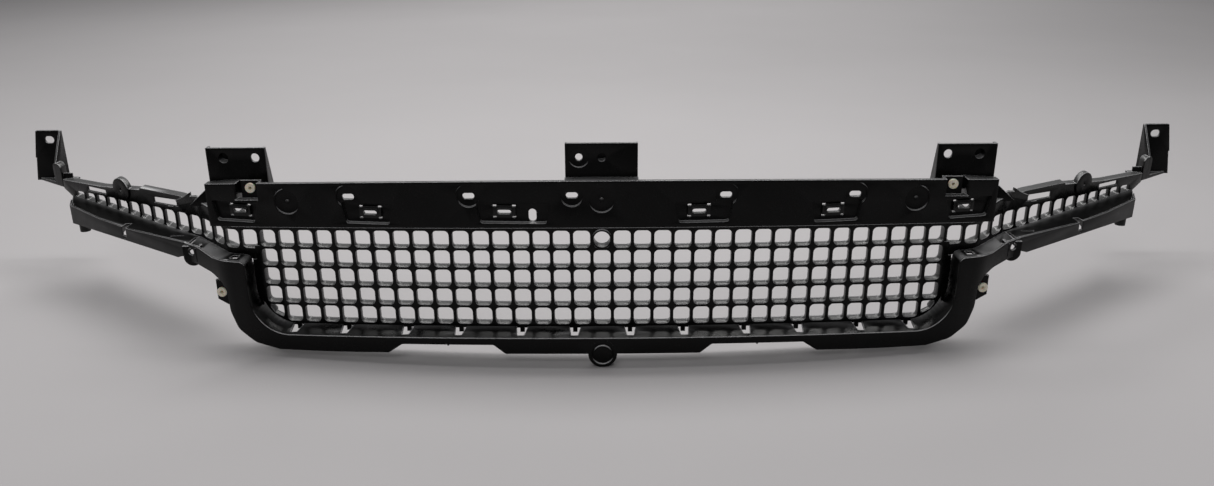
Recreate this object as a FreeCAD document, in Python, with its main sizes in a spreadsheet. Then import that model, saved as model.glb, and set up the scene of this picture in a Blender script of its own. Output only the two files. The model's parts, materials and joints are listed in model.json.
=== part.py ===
"""Front grille of a car: an open mesh of rounded square cells under a clip-on upper panel, with two
mesh wings that sweep back, a lower surround with wing strips, and the brackets, clips and screw
grommets that hold it to the body.

Frame: X across the car (left is -X), -Y towards the front, +Z up. The origin is under the centre of
the bounding box, at the level of the lowest point. Units are millimetres.
"""
import FreeCAD, Part

import math
import os

from FreeCAD import Placement, Rotation, Vector

doc = FreeCAD.newDocument("front_grille")

# ---------------------------------------------------------------- driving dimensions
DIMENSIONS = [
    # plan view: where the mouldings lie from front to back
    ("face_y", -157.1, "front of the mesh on the centre line"),
    ("bow_radius", 2000.0, "plan radius of the centre section"),
    ("bow_end_x", 415.0, "where the bow ends"),
    ("step_x", 482.0, "outer end of the steep step"),
    ("step_depth", 105.0, "how far back the step ends"),
    ("step_angle", 46.0, "slope of the step in plan, degrees"),
    ("wing_angle", 36.0, "sweep of the wings in plan, degrees"),
    ("step_root_fillet", 26.0, "plan fillet at the foot of the step"),
    ("step_top_fillet", 20.0, "plan fillet where the step meets the wing"),
    ("lip_reach", 26.0, "how far the surround stands in front of the mesh"),
    ("strip_reach", 45.0, "how far the wing strip stands in front of the wing mesh"),
    ("lip_bow_end_x", 400.0, "where the surround's bow ends"),
    ("lip_fillet", 45.0, "plan fillet between the surround and the wing strips"),
    ("wall", 2.8, "wall of the mouldings"),
    # front view: crowns
    ("crown_radius", 8000.0, "crown of the mesh rows"),
    ("top_crown_radius", 6500.0, "crown of the upper panel's top edge"),
    # mesh
    ("cell_pitch_x", 22.2, "column pitch"),
    ("cell_pitch_z", 22.7, "row pitch"),
    ("bar_x", 3.6, "upright bar"),
    ("bar_z", 3.0, "level bar"),
    ("cell_corner", 5.2, "corner radius of a cell"),
    ("mesh_depth", 12.5, "depth of the level bars"),
    ("upright_depth", 8.0, "depth of the upright bars"),
    ("wing_upright_depth", 6.0, "depth of the upright bars in the wings"),
    ("mesh_half_width", 394.2, "half width of the mesh below its top row"),
    ("mesh_corner", 40.0, "bottom corners of the mesh"),
    ("top_row_z", 141.8, "centre of the top row"),
    ("half_columns", 17.0, "columns each side of the centre one"),
    ("row_count", 5.0, "rows"),
    ("wing_columns", 15.0, "columns in each wing"),
    ("locator_hole_radius", 9.0, "round hole in the middle of the top row"),
    # upper panel
    ("panel_half_width", 446.0, "half width of the upper panel"),
    ("panel_top_z", 207.7, "top edge on the centre line"),
    ("panel_bottom_z", 155.2, "bottom edge on the centre line"),
    ("panel_flange", 5.0, "depth of the top flange"),
    ("panel_arc_end", 500.0, "where the panel's plan curve is cut off"),
    ("block_x", 408.5, "inner side of the panel's end blocks"),
    ("notch_x", 383.0, "inner side of the grommet notches"),
    ("pocket_depth", 6.0, "depth of a clip pocket"),
    ("pocket_height", 23.0, "height of a clip pocket"),
    ("clip_drop", 35.0, "clip centre below the panel's top edge"),
    ("end_clip_rise", 3.0, "how much higher the two end clips sit"),
    ("slot_drop", 16.7, "slot centre below the panel's top edge"),
    ("slot_length", 13.0, "length of a panel slot"),
    ("slot_width", 6.6, "width of a panel slot"),
    ("slot_pad_radius", 12.0, "radius of the recess round a slot"),
    ("disc_drop", 22.0, "centre of a disc recess below the top edge"),
    ("disc_radius", 13.5, "radius of a disc recess"),
    # surround
    ("lip_top_z", 35.2, "top front edge of the ledge on the centre line"),
    ("lip_low_z", 16.3, "bottom of the deep lip"),
    ("lip_high_z", 27.0, "bottom of the shallow lip"),
    ("side_inner_x", 395.0, "inner edge of the surround's upright, low down"),
        ("corner_inner_radius", 42.0, "inner bottom corner"),
        ("shoulder_x", 484.0, "outer end of the surround's shoulder"),
    ("shoulder_top_z", 119.6, "top of the shoulder at its outer end"),
        ("foot_radius", 16.0, "round foot under the middle"),
    ("hook_window_width", 13.0, "snap window at its mouth"),
    ("hook_window_depth", 15.0, "snap window from front to back"),
    # wing strips
    ("strip_end_x", 696.0, "outer front corner of a wing strip"),
    ("strip_top_z", 111.6, "top of the strip's outer run"),
    ("strip_low_z", 94.2, "bottom of the strip's outer run"),
    ("eyelet_x", 474.2, "eyelet at the strip's joint"),
    ("eyelet_z", 110.6, "eyelet height"),
    ("eyelet_radius", 10.0, "outside of the eyelet"),
    ("eyelet_hole_radius", 4.4, "hole of the eyelet"),
    ("peg_radius", 6.5, "peg under the strip's end"),
    ("peg_length", 16.0, "length of that peg"),
    # centre bracket
    ("centre_bracket_width", 78.6, "width"),
    ("centre_bracket_y", 16.6, "front face behind the mesh front"),
    ("centre_bracket_top_z", 245.2, "top edge"),
    ("centre_hole_x", -24.4, "bolt hole"),
    ("centre_hole_z", 229.4, "bolt hole height"),
    ("centre_hole_radius", 4.0, "bolt hole radius"),
    ("centre_pad_radius", 11.0, "recess round the bolt hole"),
    ("centre_socket_radius", 4.5, "blind locating socket"),
    # side brackets
    ("side_bracket_y", 62.0, "front face behind the mesh front"),
    ("side_bracket_inner_x", 378.0, "inner edge"),
    ("side_bracket_outer_x", 444.0, "outer edge"),
    ("side_bracket_top_z", 231.0, "top edge"),
    ("side_bracket_low_z", 178.5, "lower edge"),
        ("side_hole_x", 389.5, "bolt hole"),
    ("side_hole_z", 219.5, "bolt hole height"),
    ("side_hole_radius", 4.9, "bolt hole radius"),
    ("side_socket_x", 425.0, "blind locating socket"),
    ("side_socket_radius", 5.6, "socket radius"),
    # tip brackets
    ("tip_plate_y", 333.0, "front face of the plate behind the mesh front"),
    ("tip_inner_x", 757.0, "inner edge of the plate"),
    ("tip_outer_x", 790.6, "outer edge of the plate at its top"),
    ("tip_foot_x", 801.0, "outer edge of the plate at its foot"),
    ("tip_top_z", 190.2, "top edge"),
    ("tip_base_z", 119.0, "underside"),
    ("tip_post_top_z", 150.6, "rounded top of the post"),
    ("tip_slot_x", 773.4, "slot centre"),
    ("tip_slot_z", 177.0, "slot height"),
    ("tip_slot_length", 13.2, "slot length"),
    ("tip_slot_width", 10.0, "slot width"),
    ("bracket_wall", 3.0, "wall of the brackets"),
    # screw grommets
    ("grommet_head_radius", 5.6, "head radius"),
    ("grommet_head", 2.6, "head thickness"),
    ("grommet_body", 7.4, "side of the square body"),
    ("grommet_body_length", 9.0, "length of the body behind the head"),
    ("grommet_bore_radius", 1.7, "screw bore"),
    ("upper_grommet_x", 392.3, "upper grommets"),
    ("upper_grommet_z", 189.6, "upper grommets"),
    ("upper_grommet_y", 45.0, "seat of the upper grommets behind the mesh front"),
    ("lower_grommet_x", 434.3, "lower grommets"),
    ("lower_grommet_z", 70.8, "lower grommets"),
    ("lower_grommet_y", 30.0, "seat of the lower grommets behind the mesh front"),
    # panel clips
    ("clip_width", 24.6, "clip frame width"),
    ("clip_height", 13.4, "clip frame height"),
    ("clip_depth", 4.0, "clip frame depth"),
]

sheet = doc.addObject("Spreadsheet::Sheet", "Dimensions")
for row, (alias, number, note) in enumerate(DIMENSIONS, start=1):
    sheet.set(f"A{row}", alias)
    sheet.set(f"B{row}", str(number))
    sheet.set(f"C{row}", note)
    sheet.setAlias(f"B{row}", alias)
doc.recompute()


def cell(alias):
    """The number in the spreadsheet cell with that alias."""
    return float(sheet.get(alias))


FACE_Y = cell("face_y")
WALL = cell("wall")
FAR = 900.0          # beyond every piece, for cutting prisms
HALF_SPAN = 815.0    # half length of the plan curves, past the wing tips
subparts = []        # the document objects that become parts/*.step


# ---------------------------------------------------------------- plan curves
def droop(x, radius=None):
    """How far a crowned line has dropped at x."""
    return x * x / (2.0 * (radius or cell("crown_radius")))


def cross(p, angle_p, q, angle_q):
    """Where the line through p at angle_p meets the line through q at angle_q, in plan."""
    a, b = math.tan(angle_p), math.tan(angle_q)
    x = (q[1] - p[1] + a * p[0] - b * q[0]) / (a - b)
    return (x, p[1] + a * (x - p[0]))


def shifted(p, angle, offset):
    """p moved to the rear by offset, square to a line at that angle."""
    return (p[0] - offset * math.sin(angle), p[1] + offset * math.cos(angle))


def bow_point(x, offset):
    """The point of the bow, offset to the rear, whose normal passes x at the front face."""
    radius = cell("bow_radius")
    angle = math.asin(x / radius)
    return ((radius - offset) * math.sin(angle), FACE_Y + radius - (radius - offset) * math.cos(angle)), angle


def upper_turns(offset):
    """Right half of the mesh's plan line: bow end, then each corner with its fillet."""
    start, start_angle = bow_point(cell("bow_end_x"), offset)
    step = math.radians(cell("step_angle"))
    wing = math.radians(cell("wing_angle"))
    knee = (cell("step_x"), FACE_Y + cell("step_depth"))
    on_step, on_wing = shifted(knee, step, offset), shifted(knee, wing, offset)
    foot = cross(start, start_angle, on_step, step)
    top = cross(on_step, step, on_wing, wing)
    end = (HALF_SPAN, on_wing[1] + (HALF_SPAN - on_wing[0]) * math.tan(wing))
    foot_radius = max(2.0, cell("step_root_fillet") - offset)
    return start, [(foot, foot_radius), (top, cell("step_top_fillet") + offset)], end


def lower_turns(offset):
    """Right half of the surround's and strips' plan line, in front of the mesh."""
    start, start_angle = bow_point(cell("lip_bow_end_x"), offset - cell("lip_reach"))
    wing = math.radians(cell("wing_angle"))
    knee = (cell("step_x"), FACE_Y + cell("step_depth") - cell("strip_reach"))
    on_wing = shifted(knee, wing, offset)
    corner = cross(start, start_angle, on_wing, wing)
    end = (HALF_SPAN, on_wing[1] + (HALF_SPAN - on_wing[0]) * math.tan(wing))
    return start, [(corner, cell("lip_fillet") - offset)], end


def line(p, q):
    return Part.LineSegment(p, q).toShape()


def rounded_run(points, radii):
    """Edges of an open run of straight lines whose inner corners are rounded."""
    edges, at = [], points[0]
    for corner, after, radius in zip(points[1:], points[2:], radii):
        back, ahead = (at - corner).normalize(), (after - corner).normalize()
        half = back.getAngle(ahead) / 2.0
        run = radius / math.tan(half)
        tangent_in, tangent_out = corner + back * run, corner + ahead * run
        to_centre = (back + ahead).normalize()
        middle = corner + to_centre * (radius / math.sin(half) - radius)
        edges.append(line(at, tangent_in))
        edges.append(Part.Arc(tangent_in, middle, tangent_out).toShape())
        at = tangent_out
    edges.append(line(at, points[-1]))
    return edges


def panel_arc(offset):
    """The upper panel keeps to the bow where the mesh steps back."""
    (x, y), _ = bow_point(cell("panel_arc_end"), offset)
    return Part.Arc(Vector(-x, y, 0), Vector(0, FACE_Y + offset, 0), Vector(x, y, 0)).toShape()


def plan_edges(kind, offset):
    """The whole plan line from the left tip to the right tip, at z = 0."""
    if kind == "panel":
        return [panel_arc(offset)]
    start, turns, end = upper_turns(offset) if kind == "upper" else lower_turns(offset)
    shift = offset if kind == "upper" else offset - cell("lip_reach")
    corners, radii = [t[0] for t in turns], [t[1] for t in turns]
    right = [Vector(*p, 0) for p in [start, *corners, end]]
    left = [Vector(-p.x, p.y, 0) for p in reversed(right)]
    bow = Part.Arc(left[-1], Vector(0, FACE_Y + shift, 0), right[0]).toShape()
    return rounded_run(left, radii[::-1]) + [bow] + rounded_run(right, radii)


def plan_solid(front, rear):
    """The space between two plan lines, each (kind, offset), over the whole height."""
    near, far = plan_edges(*front), plan_edges(*rear)
    near_wire, far_wire = Part.Wire(near), Part.Wire(far)
    tips = [line(*[tip((v.Point for v in wire.Vertexes), key=lambda p: p.x) for wire in (near_wire, far_wire)])
            for tip in (min, max)]
    loop = Part.Wire(Part.__sortEdges__(near + far + tips))
    return Part.Face(loop).extrude(Vector(0, 0, 300))


def plan_y(x, kind="upper", offset=0.0):
    """y of a plan line at x, measured on the line itself."""
    ray = line(Vector(abs(x), FACE_Y - 200, 0), Vector(abs(x), FACE_Y + 500, 0))
    hits = [e.distToShape(ray) for e in plan_edges(kind, offset)]
    best = min(hits, key=lambda h: h[0])
    return best[1][0][0].y


# ---------------------------------------------------------------- front-view prisms
def front_face(edges):
    return Part.Face(Part.Wire(Part.__sortEdges__(edges)))


def point(x, z):
    return Vector(x, -FAR, z)


def polygon_prism(points, fillets=()):
    """A closed outline in front view, given as (x, z) points, drawn through the whole depth.
    fillets holds (point number, radius)."""
    loop = [point(*p) for p in points]
    edges = [line(a, b) for a, b in zip(loop, loop[1:] + loop[:1])]
    prism = front_face(edges).extrude(Vector(0, 2 * FAR, 0))
    return rounded_prism(prism, [(points[n], r) for n, r in fillets])


def rounded_prism(prism, corners):
    """prism with its long edges at the (x, z) corners rounded."""
    for (x, z), radius in corners:
        hit = [e for e in prism.Edges
               if all(abs(v.X - x) < 0.01 and abs(v.Z - z) < 0.01 for v in e.Vertexes)]
        prism = prism.makeFillet(radius, hit)
    return prism


def crown(x1, x2, z, radius=None):
    """A crowned edge from x1 to x2 that passes z on the centre line."""
    middle = (x1 + x2) / 2.0
    return Part.Arc(*[point(x, z - droop(x, radius)) for x in (x1, middle, x2)]).toShape()


def crowned_band(x1, x2, low, high, low_radius=None, high_radius=None):
    """The prism between two crowned edges."""
    ends = [line(point(x, low - droop(x, low_radius)), point(x, high - droop(x, high_radius)))
            for x in (x1, x2)]
    edges = [crown(x1, x2, low, low_radius), crown(x1, x2, high, high_radius), *ends]
    return front_face(edges).extrude(Vector(0, 2 * FAR, 0))


def rounded_cell(corners, radius):
    """A closed four-sided outline with round corners, drawn through the whole depth."""
    loop = [point(*c) for c in corners]
    start = (loop[0] + loop[-1]) * 0.5
    run = rounded_run([start, *loop, start], [radius] * 4)
    return Part.Face(Part.Wire(run)).extrude(Vector(0, 2 * FAR, 0))


def rod(x, z, y1, y2, radius):
    """A round bar along Y."""
    return Part.makeCylinder(radius, y2 - y1, Vector(x, y1, z), Vector(0, 1, 0))


def block(x1, x2, y1, y2, z1, z2):
    return Part.makeBox(x2 - x1, y2 - y1, z2 - z1, Vector(x1, y1, z1))


def slot_prism(x, z, length, width, y1, y2):
    """A slot with round ends along X, or along Z if width is the larger."""
    radius = min(length, width) / 2.0
    dx, dz = max(length / 2.0 - radius, 0), max(width / 2.0 - radius, 0)
    ends = [rod(x - dx, z - dz, y1, y2, radius), rod(x + dx, z + dz, y1, y2, radius)]
    middle = block(x - (dx or radius), x + (dx or radius), y1, y2, z - (dz or radius), z + (dz or radius))
    return ends[0].multiFuse([ends[1], middle])


def joined(body, additions):
    """body with each addition fused on in turn."""
    for addition in additions:
        body = body.fuse(addition)
    return body


def carved(body, tools):
    """body with each tool cut away in turn."""
    for tool in tools:
        body = body.cut(tool)
    return body


# ---------------------------------------------------------------- document helpers
def moulding(name, shape):
    """A piece whose curved shell is set from its own geometry."""
    piece = doc.addObject("Part::Feature", name)
    piece.Shape = shape
    piece.Label = name
    subparts.append(piece)
    return piece


def mirrored(name, source):
    """The right-hand twin of a left-hand piece."""
    twin = doc.addObject("Part::Mirroring", name)
    twin.Source = source
    twin.Base = Vector(0, 0, 0)
    twin.Normal = Vector(1, 0, 0)
    twin.Label = name
    subparts.append(twin)
    return twin


def bind(piece, **expressions):
    """Binds properties to the sheet; an underscore pair stands for a dot in the property's name."""
    for name, expression in expressions.items():
        text = str(expression)
        for alias, _, _ in sorted(DIMENSIONS, key=lambda d: -len(d[0])):
            text = text.replace(f"<{alias}>", f"Dimensions.{alias}")
        piece.setExpression(name.replace("__", "."), text)
    return piece


def box_of(name, x, y, z, length, width, height):
    """A Part::Box whose corner and sides are expressions in sheet cells."""
    piece = doc.addObject("Part::Box", name)
    return bind(piece, Length=length, Width=width, Height=height,
                Placement__Base__x=x, Placement__Base__y=y, Placement__Base__z=z)


def rod_of(name, x, y, z, radius, length):
    """A Part::Cylinder along +Y from y, placed by expressions."""
    piece = doc.addObject("Part::Cylinder", name)
    piece.Placement = Placement(Vector(0, 0, 0), Rotation(Vector(1, 0, 0), -90))
    return bind(piece, Radius=radius, Height=length,
                Placement__Base__x=x, Placement__Base__y=y, Placement__Base__z=z)


def fused(name, parts):
    piece = doc.addObject("Part::MultiFuse", name)
    piece.Shapes = parts
    return piece


def cut_by(name, base, tools):
    piece = doc.addObject("Part::Cut", name)
    piece.Base = base
    piece.Tool = tools[0] if len(tools) == 1 else fused(name + "_tools", tools)
    return piece


def finished(name, piece):
    piece.Label = name
    subparts.append(piece)
    return piece


# ---------------------------------------------------------------- mesh
def row_z(row):
    return cell("top_row_z") - row * cell("cell_pitch_z")


def mesh_cell(column, row):
    """The opening of one cell of the centre mesh, its level edges following the crown."""
    half_x = (cell("cell_pitch_x") - cell("bar_x")) / 2.0
    half_z = (cell("cell_pitch_z") - cell("bar_z")) / 2.0
    x, z = column * cell("cell_pitch_x"), row_z(row)
    corners = [(x + sx * half_x, z + sz * half_z - droop(x + sx * half_x))
               for sx, sz in ((-1, -1), (1, -1), (1, 1), (-1, 1))]
    return rounded_cell(corners, cell("cell_corner"))


def centre_mesh():
    """Five rows of cells in one bowed and crowned moulding, with snap hooks along its foot."""
    half = (cell("half_columns") + 0.5) * cell("cell_pitch_x") - 0.15
    rows = int(cell("row_count"))
    top = cell("panel_bottom_z") - 0.2
    low = row_z(rows - 1) - cell("cell_pitch_z") / 2.0 - cell("bar_z") / 2.0
    sheet_solid = plan_solid(("upper", 0.0), ("upper", cell("mesh_depth")))
    wide = cell("mesh_half_width")
    outline = crowned_band(-half, half, low, top)
    skirt = crowned_band(-wide, wide, low, row_z(1) + cell("cell_pitch_z") * 0.6)
    skirt = rounded_prism(skirt, [((s * wide, low - droop(wide)), cell("mesh_corner")) for s in (-1, 1)])
    below = Part.makeBox(2 * FAR, 2 * FAR, row_z(1) - low, Vector(-FAR, -FAR, low - 40.0))
    outline = outline.cut(below).fuse(skirt)
    body = sheet_solid.common(outline)
    columns = int(cell("half_columns"))
    cells = [mesh_cell(c, r) for c in range(-columns, columns + 1) for r in range(rows)
             if not (r == 0 and c == 0) and not (r == rows - 1 and abs(c) == columns)]
    half_depth = cell("mesh_depth") * 0.45
    front_part = block(-20, 20, FACE_Y - 5, FACE_Y + half_depth, 100, 200)
    middle = mesh_cell(0, 0).common(front_part)
    locator = rod(0, cell("top_row_z") + 0.4, FACE_Y - 5, FACE_Y + 30, cell("locator_hole_radius"))
    ring = rod(0, cell("top_row_z") + 0.4, FACE_Y - 1.5, FACE_Y + cell("mesh_depth"),
               cell("locator_hole_radius") + 2.0)
    body = body.cut(Part.makeCompound([*cells, middle])).fuse(ring).cut(locator)
    # The last cell of the bottom row is a quarter cell inside the rounded corner.
    half_x = (cell("cell_pitch_x") - cell("bar_x")) / 2.0
    half_z = (cell("cell_pitch_z") - cell("bar_z")) / 2.0
    for side in (-1, 1):
        x, z = columns * cell("cell_pitch_x"), row_z(rows - 1) - droop(columns * cell("cell_pitch_x"))
        corners = [(side * (x - half_x), z - half_z * 0.55), (side * (x - half_x), z + half_z),
                   (side * (x + half_x), z + half_z), (side * (x + half_x * 0.2), z - half_z * 0.05)]
        body = body.cut(rounded_cell(corners if side > 0 else corners[::-1], 2.4))
    inner_run = wide - 14.0
    behind = plan_solid(("upper", cell("upright_depth")), ("upper", 60.0))
    for r in range(rows):
        band = crowned_band(-inner_run, inner_run, row_z(r) - half_z + 0.4, row_z(r) + half_z - 0.4)
        body = body.cut(band.cut(locator_boss()).common(behind))
    hooks = [snap_hook(s * x) for x in HOOK_X for s in (-1, 1)]
    sides = [polygon_prism([(s * x, z) for x, z in MESH_SIDE]).common(sheet_solid) for s in (-1, 1)]
    return joined(body, [*hooks, *sides])


HOOK_X = (31.0, 91.0, 161.0, 221.5, 293.0, 353.0)
# The edge that widens the mesh towards the surround's upright.
MESH_SIDE = ((392.0, 50.0), (394.2, 50.0), (396.0, 56.0), (397.6, 62.0), (398.5, 70.0), (398.5, 106.4),
             (392.0, 106.4))


def locator_boss():
    """The space round the middle hole of the top row, which keeps its full depth."""
    return rod(0, cell("top_row_z") + 0.4, FACE_Y - 5, FACE_Y + 40, cell("locator_hole_radius") + 2.2)


def snap_hook(x):
    """A tongue under the mesh that reaches down through a window and back under the ledge."""
    y = plan_y(x)
    top = row_z(int(cell("row_count")) - 1) - cell("cell_pitch_z") / 2.0 - droop(x)
    ledge = cell("lip_top_z") - droop(x)
    leg = block(x - 2.5, x + 2.5, y + 5.2, y + 7.6, ledge - 6.5, top + 0.5)
    toe = block(x - 2.5, x + 2.5, y + 5.2, y + 12.0, ledge - 6.5, ledge - 4.4)
    return leg.fuse(toe)


WING_LOW = ((400.0, 116.6), (413.0, 116.2), (455.0, 112.7), (519.0, 108.0), (573.0, 106.9), (800.0, 106.9))


def wing_web_z(x):
    """Where the plain web under the wing's cells shows its top: level outboard, rising inboard."""
    for (x1, z1), (x2, z2) in zip(WING_LOW, WING_LOW[1:]):
        if x <= x2:
            return z1 + (z2 - z1) * (max(x, x1) - x1) / (x2 - x1)
    return WING_LOW[-1][1]


def wing_low_z(x):
    """Lower edge of the wing's cells."""
    return wing_web_z(x) + 3.4


def wing_high_z(x):
    """Upper edge of the wing's cells, which carries on the top row's crown."""
    return row_z(0) + (cell("cell_pitch_z") - cell("bar_z")) / 2.0 - droop(x)


def wing_cell(column):
    half_x = (cell("cell_pitch_x") - cell("bar_x")) / 2.0
    x = column * cell("cell_pitch_x")
    corners = [(-(x - half_x), wing_low_z(x - half_x)), (-(x + half_x), wing_low_z(x + half_x)),
               (-(x + half_x), wing_high_z(x + half_x)), (-(x - half_x), wing_high_z(x - half_x))]
    height = wing_high_z(x + half_x) - wing_low_z(x + half_x)
    return rounded_cell(corners, min(cell("cell_corner"), height * 0.32))


WING_TOP = ((453.0, 155.6), (466.0, 156.6), (485.0, 155.0), (511.0, 156.2), (582.0, 151.3), (584.0, 148.4),
            (663.0, 136.5), (739.0, 130.1), (744.0, 129.8))
PAD_X, PAD_Z, PAD_RADIUS = 619.0, 141.8, 15.0
BAR_SLOTS = (((514.6, 150.1), (558.0, 145.2), (558.0, 137.7), (514.6, 141.8)),
             ((652.7, 133.8), (690.0, 131.6), (690.0, 125.4), (652.7, 128.1)))


def wing_mesh():
    """Left wing: one row of cells that tapers to the tip, under a slotted bar with a round pad."""
    inner = (cell("half_columns") + 0.5) * cell("cell_pitch_x") + 0.15
    panel_end, tip = cell("panel_half_width") + 0.3, 744.0
    panel_line = cell("panel_bottom_z") - 0.2
    inboard = [(inner, panel_line - droop(inner)), (421.0, panel_line - droop(421.0)),
               (panel_end, panel_line - droop(panel_end))]
    foot_z, seam_x, seam_z = WING_LOW[-1][1], cell("mesh_half_width") + 0.4, 123.6
    under = [(tip, 117.5), (730.0, 110.5), (722.0, foot_z), (seam_x, foot_z), (seam_x, seam_z), (inner, seam_z)]
    outline = polygon_prism([(-x, z) for x, z in (*inboard, *WING_TOP, *under)])
    body = plan_solid(("upper", 0.0), ("upper", cell("mesh_depth"))).common(outline)
    first = int(cell("half_columns")) + 1
    columns = range(first, first + int(cell("wing_columns")))
    # Behind the cells the upright bars are cut back; above them only a wall is left.
    ends = (inner + 1.6, 739.0)
    steps = [ends[0], 455.0, 519.0, 573.0, ends[1]]
    upright_band = polygon_prism([*[(-x, wing_low_z(x) + 0.4) for x in steps],
                                  *[(-x, wing_high_z(x) - 0.4) for x in reversed(steps)]])
    body = body.cut(upright_band.common(plan_solid(("upper", cell("wing_upright_depth")), ("upper", 60.0))))
    relief = polygon_prism([*[(-x, z - 2.8) for x, z in WING_TOP],
                            *[(-x, wing_high_z(x) - 1.0) for x in (740.0, 650.0, 560.0, 500.0, 453.0)]])
    body = body.cut(relief.common(plan_solid(("upper", WALL), ("upper", 60.0))))
    flange_line = WING_TOP[2:]
    flange_band = polygon_prism([*[(-x, z) for x, z in flange_line],
                                 *[(-x, z - 2.6) for x, z in reversed(flange_line)]])
    flange = plan_solid(("upper", 0.0), ("upper", 11.0)).common(flange_band)
    pad_y = plan_y(PAD_X)
    pad = rod(-PAD_X, PAD_Z, pad_y - 60.0, pad_y + 60.0, PAD_RADIUS).common(
        plan_solid(("upper", -2.0), ("upper", 7.0)))
    tab = block(-743.6, -732.0, plan_y(738.0) + 8.0, plan_y(738.0) + 10.4, 122.0, 138.0)
    body = joined(body, [flange, pad, tab, *root_web()])
    cells = [wing_cell(c) for c in columns]
    slots = [rounded_cell([(-x, z) for x, z in corners], 1.2) for corners in BAR_SLOTS]
    dimple = rod(-PAD_X, PAD_Z, pad_y - 8.0, pad_y, 1.6)
    return body.cut(Part.makeCompound([*cells, *slots, dimple]))


def root_web():
    """The upright fin and the arrow-shaped stop beside the panel's end."""
    fin_y = plan_y(470.0)
    fin = polygon_prism([(-457.0, 153.0), (-484.7, 153.0), (-484.7, 154.6), (-465.0, 172.4), (-463.0, 171.0)])
    fin = fin.common(block(-486, -455, fin_y + 2.0, fin_y + 4.6, 150, 180))
    stop = polygon_prism([(-476.5, 164.3), (-486.8, 154.0), (-531.0, 137.8), (-531.0, 142.5), (-500.0, 158.5),
                          (-489.4, 165.8), (-489.4, 160.9)])
    stop = stop.common(plan_solid(("upper", -3.0), ("upper", 1.5)))
    return [fin, stop]


# ---------------------------------------------------------------- upper panel
PANEL_SLOTS = (-278.5, -144.3, -32.1, 134.8, 278.5)
DISC_X = (-349.0, 0.0, 349.0)
CLIP_X = (-408.0, -255.0, -106.0, 106.0, 255.0, 408.0)
WIDE_POCKETS = {-106.0: (-137.0, -55.0), 106.0: (79.0, 143.0)}
CORNER_X, CORNER_Z = 10.6, 6.2       # a clip's corner slots from its centre
CORNER_LENGTH, CORNER_WIDTH = 4.4, 2.0


def panel_top(x):
    return cell("panel_top_z") - droop(x, cell("top_crown_radius"))


def clip_z(x):
    """Height of the clip at x; the two end clips sit higher."""
    return panel_top(x) - cell("clip_drop") + (cell("end_clip_rise") if abs(x) > 400.0 else 0.0)


def pocket_sides(x):
    """Left and right edge of the pocket that holds the clip at x, along its top."""
    if abs(x) > 400.0:
        edges = sorted((math.copysign(385.0, x), math.copysign(440.0, x)))
        return edges[0], edges[1]
    inner, outer = 26.5, 32.0
    return WIDE_POCKETS.get(x, (x - inner, x + outer) if x > 0 else (x - outer, x + inner))


def pocket_back(x):
    """Solid that backs a clip pocket, and the pocket's own space in front of it."""
    left, right = pocket_sides(x)
    floor = cell("pocket_depth")
    low = clip_z(x) - cell("pocket_height") / 2.0 - 0.5
    high = low + cell("pocket_height")
    grown = polygon_prism([(left - 2, low - 2), (right + 2, low - 2), (right + 3, high + 3), (left - 3, high + 3)])
    backing = plan_solid(("panel", 0.5), ("panel", floor + WALL)).common(grown)
    space = polygon_prism([(left + 5, low), (right - 5, low), (right, high), (left, high)],
                          [(0, 3.5), (1, 3.5), (2, 2.0), (3, 2.0)])
    return backing, plan_solid(("panel", -5.0), ("panel", floor)).common(space)


def corner_slots(x, z, y1, y2):
    """The four small slots at the corners of the clip at x."""
    return [slot_prism(x + dx, z + dz, CORNER_LENGTH, CORNER_WIDTH, y1, y2)
            for dx in (-CORNER_X, CORNER_X) for dz in (-CORNER_Z, CORNER_Z)]


def sided(side, x1, x2, y1, y2, z1, z2):
    """A block between two distances from the middle, on one side of the car."""
    a, b = sorted((side * x1, side * x2))
    return block(a, b, y1, y2, z1, z2)


def end_block(side, outline, flange_band):
    """The walls that run back from the panel's end to the side bracket, and the roof between them."""
    half, inner = cell("panel_half_width"), cell("block_x")
    behind = plan_solid(("panel", 0.0), ("panel", 60.0))
    rear = FACE_Y + cell("side_bracket_y") - 0.2
    roof = sided(side, inner, half, FACE_Y, rear, 0, 300).common(behind).common(flange_band)
    inner_wall = sided(side, inner, inner + WALL, FACE_Y, rear, 0, 300).common(behind).common(outline)
    outer_wall = sided(side, half - WALL, half, FACE_Y, rear, 0, 300).common(behind).common(outline)
    return [roof, inner_wall, outer_wall]


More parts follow.
